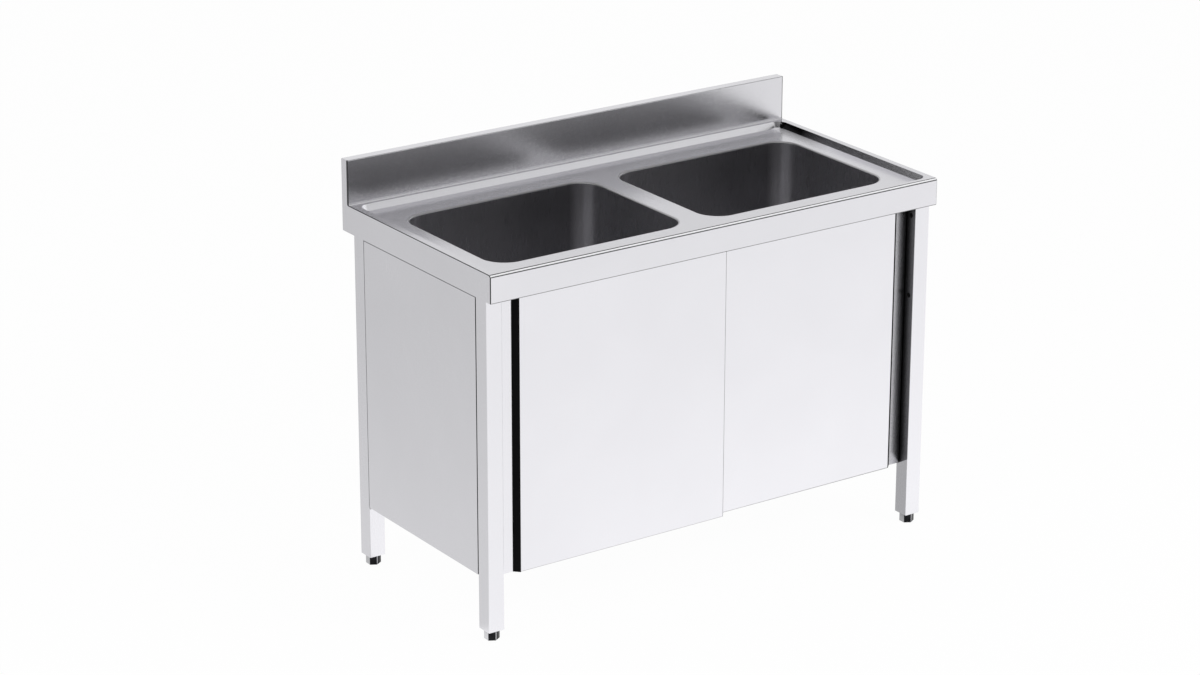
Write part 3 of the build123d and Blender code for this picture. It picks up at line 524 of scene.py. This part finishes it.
# ---------------------------------------------------------------- feet, buffers and grips
def at_rest(piece, name, finish):
    """Ends a new piece: its size and place go into its mesh, and it gets its name and finish."""
    deselect_all()
    piece.select_set(True)
    bpy.context.view_layer.objects.active = piece
    bpy.ops.object.transform_apply(location=True, rotation=True, scale=True)
    piece.name = name
    piece.data.materials.clear()
    piece.data.materials.append(finishes[finish])
    return piece


def pick(piece, kind, test):
    """Selects the faces or edges that pass the test, in edit mode."""
    edit(piece, "DESELECT")
    bpy.ops.mesh.select_mode(type=kind)
    bpy.ops.object.mode_set(mode="OBJECT")
    mesh = piece.data
    if kind == "FACE":
        for face in mesh.polygons:
            face.select = test(face.center, face.normal)
    else:
        for line in mesh.edges:
            line.select = test(*(mesh.vertices[v].co for v in line.vertices))
    bpy.ops.object.mode_set(mode="EDIT")


def smooth(piece, angle=35):
    """Leaves edit mode and shades all but the sharper edges smooth."""
    bpy.ops.object.mode_set(mode="OBJECT")
    bpy.ops.object.shade_smooth_by_angle(angle=math.radians(angle))
    return piece


def rising(rings, sides=32):
    """A closed turned shape along Z from (radius, height) rings."""
    deselect_all()
    radius, height = rings[0]
    bpy.ops.mesh.primitive_circle_add(vertices=sides, radius=radius, fill_type="NGON",
                                      location=(0, 0, height))
    piece = bpy.context.object
    bpy.ops.object.transform_apply(location=True, rotation=True, scale=True)
    edit(piece)
    for next_radius, next_height in rings[1:]:
        bpy.ops.mesh.extrude_region_move(
            TRANSFORM_OT_translate={"value": (0, 0, next_height - height)})
        grow = next_radius / radius
        bpy.ops.transform.resize(value=(grow, grow, 1), center_override=(0, 0, next_height))
        radius, height = next_radius, next_height
    bpy.ops.mesh.select_all(action="SELECT")
    bpy.ops.mesh.normals_make_consistent(inside=False)
    return smooth(piece)


FOOT_HEIGHT, FOOT_ACROSS, FOOT_CHAMFER, FOOT_CORNER = 0.0227, 0.030, 0.0015, 0.0011
FOOT_HOLLOW_RIM, FOOT_HOLLOW_DEPTH = 0.0035, 0.001
STUD_TOP, STUD_RADIUS, THREAD_DEPTH, THREAD_PITCH = 0.0677, 0.005, 0.0006, 0.0015


def screw_foot():
    """A hexagon foot, chamfered below, with a threaded stud on top."""
    deselect_all()
    bpy.ops.mesh.primitive_cylinder_add(vertices=6, radius=FOOT_ACROSS / math.sqrt(3),
                                        depth=FOOT_HEIGHT, location=(0, 0, FOOT_HEIGHT / 2))
    hexagon = bpy.context.object
    bpy.ops.object.transform_apply(location=True, rotation=True, scale=True)
    pick(hexagon, "EDGE", lambda a, b: max(a.z, b.z) < ON_LINE)
    bpy.ops.mesh.bevel(offset=FOOT_CHAMFER, segments=1, affect="EDGES")
    pick(hexagon, "EDGE", lambda a, b: min(a.z, b.z) > FOOT_HEIGHT - ON_LINE)
    bpy.ops.mesh.bevel(offset=FOOT_CHAMFER / 2, segments=1, affect="EDGES")
    pick(hexagon, "EDGE", lambda a, b: abs(a.z - b.z) > FOOT_HEIGHT / 2)
    bpy.ops.mesh.bevel(offset=FOOT_CORNER, segments=2, affect="EDGES")
    pick(hexagon, "FACE", lambda at, up: up.z < -0.9)
    bpy.ops.mesh.inset(thickness=FOOT_HOLLOW_RIM)
    bpy.ops.transform.translate(value=(0, 0, FOOT_HOLLOW_DEPTH))
    bpy.ops.object.mode_set(mode="OBJECT")
    turns = int((STUD_TOP - FOOT_HEIGHT) / THREAD_PITCH) - 1
    rings = [(STUD_RADIUS - THREAD_DEPTH, FOOT_HEIGHT - 0.001)]
    for turn in range(turns):
        low = FOOT_HEIGHT + turn * THREAD_PITCH
        rings.append((STUD_RADIUS, low + THREAD_PITCH / 2))
        rings.append((STUD_RADIUS - THREAD_DEPTH, low + THREAD_PITCH))
    rings.append((STUD_RADIUS - THREAD_DEPTH, STUD_TOP - 0.0008))
    rings.append((STUD_RADIUS - 2 * THREAD_DEPTH, STUD_TOP))
    stud = rising(rings, 24)
    deselect_all()
    stud.select_set(True)
    hexagon.select_set(True)
    bpy.context.view_layer.objects.active = hexagon
    bpy.ops.object.join()
    return smooth(hexagon, 20)


def copies_at(pattern, places, finish):
    """Copies of one piece at several places, each with its own mesh. The first one is used up."""
    made = {}
    for name, place in places.items():
        piece = pattern.copy()
        piece.data = pattern.data.copy()
        bpy.context.scene.collection.objects.link(piece)
        piece.location = place
        made[name] = at_rest(piece, name, finish)
    bpy.data.objects.remove(pattern)
    return made


FOOT_PLACES = {"foot_" + end + "_" + side + "_turned": (x, y, 0)
               for end, y in (("front", -0.2583), ("rear", 0.2354))
               for side, x in (("left", -0.5775), ("right", 0.5775))}
# The feet's near-black steel is painted shade.
feet = copies_at(screw_foot(), FOOT_PLACES, "foot_steel")
for name, foot in feet.items():
    node = name.replace("_turned", "")
    # Painted highlights: lighter steel on the faces towards the sides, and a half-metal grey on those
    # towards the front and back.
    paint(foot, "foot_side_steel", lambda at, up, now: abs(up.x) > 0.95 and at.z < FOOT_HEIGHT)
    paint(foot, "fastener_steel", lambda at, up, now: at.z > FOOT_HEIGHT)
    paint(foot, "foot_edge_steel", lambda at, up, now: abs(up.x) < 0.35
          and FOOT_CHAMFER < at.z < FOOT_HEIGHT - FOOT_CHAMFER / 2)
    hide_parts(node)
    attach(foot, body_of[node])

# A buffer's stem goes into the leg, and its head stands 1.25 mm proud, domed and with a soft rim.
BUFFER_RINGS = ((0.0018, 0.0), (0.0022, 0.0006), (0.0022, 0.0040), (0.0044, 0.0040),
                (0.0050, 0.00425), (0.0050, 0.00460), (0.0046, 0.00495), (0.0034, 0.00515),
                (0.0016, 0.0052))
BUFFER_HEIGHTS, BUFFER_X, FRONT_BUFFER_Y, REAR_BUFFER_Y = (0.563, 0.754), 0.5615, -0.26355, -0.2518
BUFFER_PLACES = [(side, y, z) for side, y in (
    (1, FRONT_BUFFER_Y), (-1, FRONT_BUFFER_Y), (-1, REAR_BUFFER_Y)) for z in BUFFER_HEIGHTS]
for number, (side, y, z) in enumerate(BUFFER_PLACES, 1):
    buffer = rising(BUFFER_RINGS, 28)
    buffer.rotation_euler = (0, -side * math.pi / 2, 0)
    buffer.location = (side * BUFFER_X, y, z)
    at_rest(buffer, "door_buffer_%d" % number, "rubber")
    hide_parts("door_buffers")
    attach(buffer, body_of["door_buffers"])

# The grips are near-black plastic; the black also paints the deep shade that fills the finger pulls.
for side in ("left", "right"):
    sheet_copy("door_" + side + "_grip", "black_plastic", 0.0003)


# ---------------------------------------------------------------- studio
deselect_all()
bpy.ops.mesh.primitive_plane_add(size=2 * FLOOR_HALF, location=(0, 0, 0))
floor = bpy.context.object
floor.name = "studio_floor"
floor_paint = bpy.data.materials.new("studio_floor")
floor.data.materials.append(floor_paint)

# How bright steel sees the floor in its zones, with painted shade: beside and behind the unit, in front,
# and a painted shadow below it.
BESIDE_SHADE, BEHIND_SHADE, FRONT_SHADE, BELOW_SHADE = 0.69, 0.88, 0.90, 0.42
FLOOR_WHITE, CAMERA_COVER = 0.88, 0.97

w = Weave(floor_paint)
x, y, z = w.axes()
rear_left = w.calc(y, x, "SUBTRACT")
below_left = w.calc(w.span(x, -HALF_WIDTH, -0.56, 0.0, 1.0), w.span(y, 0.22, 0.30, 1.0, 0.0), "MULTIPLY")
beside = w.calc(w.span(rear_left, 0.37, 0.45, 1.0, BESIDE_SHADE), below_left, "MAXIMUM")
behind = w.calc(beside, w.span(rear_left, 1.1, 3.2, 1.0, BEHIND_SHADE), "MULTIPLY")
in_front = w.calc(behind, w.span(y, -2.1, -0.5, FRONT_SHADE, 1.0), "MULTIPLY")
half_x = w.calc(w.calc(x, 0, "ABSOLUTE"), 0.5, "MULTIPLY")
reach = w.calc(half_x, w.calc(y, 0, "ABSOLUTE"), "MAXIMUM")
below_right = w.span(x, -0.2, 0.1, 1.0, BELOW_SHADE)
seen_shade = w.calc(in_front, w.calc(w.span(reach, 0.22, 0.32, 0.0, 1.0), below_right, "MAXIMUM"),
                    "MULTIPLY")
rays, mirror = w.mirror_rays()
plain = w.add("ShaderNodeBsdfDiffuse")
w.feed(plain, Color=(FLOOR_WHITE, FLOOR_WHITE, FLOOR_WHITE, 1))
white = w.add("ShaderNodeEmission")
w.feed(white, Color=(1, 1, 1, 1), Strength=w.calc(
    w.calc(seen_shade, mirror, "MULTIPLY"), rays.outputs["Is Camera Ray"], "MAXIMUM"))
cover = w.calc(w.calc(rays.outputs["Is Camera Ray"], CAMERA_COVER, "MULTIPLY"), mirror, "MAXIMUM")
both = w.add("ShaderNodeMixShader")
w.feed(both, i0=cover, i1=plain.outputs[0], i2=white.outputs[0])
w.feed(w.add("ShaderNodeOutputMaterial"), Surface=both.outputs[0])

# How bright steel sees the sky, by height above the horizon: in front, behind and front left.
SKY_FRONT = ((0.0, 1.0), (0.21, 0.98), (0.30, 0.24), (0.42, 0.11), (0.60, 0.20), (0.74, 0.60),
             (1.0, 0.30))
SKY_REAR = ((0.0, 1.0), (0.16, 0.74), (0.60, 0.68), (0.80, 0.30), (1.0, 0.20))
SKY_LEFT = ((0.0, 0.01), (0.32, 0.01), (0.46, 0.45), (1.0, 0.50))
LEFT_REACH, REAR_REACH, DIM_CORNER, DIM_SHARE = (0.05, 0.40), (-0.3, 0.3), (-0.75, -0.30), 0.4
SOFT_LIGHT = 0.60

world = bpy.data.worlds.new("studio")
bpy.context.scene.world = world
w = Weave(world)
way = w.add("ShaderNodeTexCoord")
height = w.add("ShaderNodeSeparateXYZ")
w.feed(height, Vector=way.outputs["Generated"])


def sky_ramp(stops):
    ramp = w.add("ShaderNodeValToRGB")
    w.feed(ramp, Fac=height.outputs[2])
    while len(ramp.color_ramp.elements) < len(stops):
        ramp.color_ramp.elements.new(0.5)
    for stop, (place, level) in zip(ramp.color_ramp.elements, stops):
        stop.position = place
        stop.color = (level, level, level, 1)
    return ramp.outputs[0]


def mixed(share, first, second, blend="MIX"):
    node = w.add("ShaderNodeMix", data_type="RGBA", blend_type=blend)
    w.feed(node, i0=share, i6=first, i7=second)
    return node.outputs[2]


front_sky = mixed(w.span(height.outputs[0], *LEFT_REACH, 0.0, 1.0), sky_ramp(SKY_LEFT),
                  sky_ramp(SKY_FRONT))
dimming = w.tint(w.span(height.outputs[0], *DIM_CORNER, 0.0, 1.0), (DIM_SHARE,) * 3, (1, 1, 1))
rear_sky = mixed(1.0, sky_ramp(SKY_REAR), dimming, "MULTIPLY")
seen_sky = mixed(w.span(height.outputs[1], *REAR_REACH, 0.0, 1.0), front_sky, rear_sky)
rays, mirror = w.mirror_rays()
soft = w.calc(w.calc(1.0, mirror, "SUBTRACT"), SOFT_LIGHT, "MULTIPLY")
seen = w.calc(w.calc(seen_sky, mirror, "MULTIPLY"), soft)
glow = w.add("ShaderNodeBackground")
w.feed(glow, Color=(1, 1, 1, 1), Strength=w.calc(seen, rays.outputs["Is Camera Ray"], "MAXIMUM"))
w.feed(w.add("ShaderNodeOutputWorld"), Surface=glow.outputs[0])


def soft_lamp(name, place, size, power):
    """A large lamp that points at the unit's middle and is not mirrored in the steel."""
    deselect_all()
    bpy.ops.object.light_add(type="AREA", location=place)
    lamp = bpy.context.object
    lamp.name = name
    lamp.data.shape = "RECTANGLE"
    lamp.data.size, lamp.data.size_y = size
    lamp.data.energy = power
    lamp.rotation_euler = (Vector(UNIT_MIDDLE) - Vector(place)).to_track_quat("-Z", "Y").to_euler()
    lamp.visible_glossy = False


UNIT_MIDDLE = (0, 0, 0.5)
soft_lamp("key_lamp", (2.2, -3.6, 3.2), (2.4, 1.8), 90)
soft_lamp("left_lamp", (-3.6, -0.8, 2.6), (2.0, 1.6), 40)

bpy.ops.object.camera_add(location=CAMERA_PLACE, rotation=CAMERA_TURN)
camera = bpy.context.object
camera.name = "photo_camera"
camera.data.sensor_width = SENSOR_WIDTH
camera.data.lens = CAMERA_LENS
camera.data.clip_end = 60
bpy.context.scene.camera = camera
bpy.context.scene.view_settings.view_transform = "Standard"
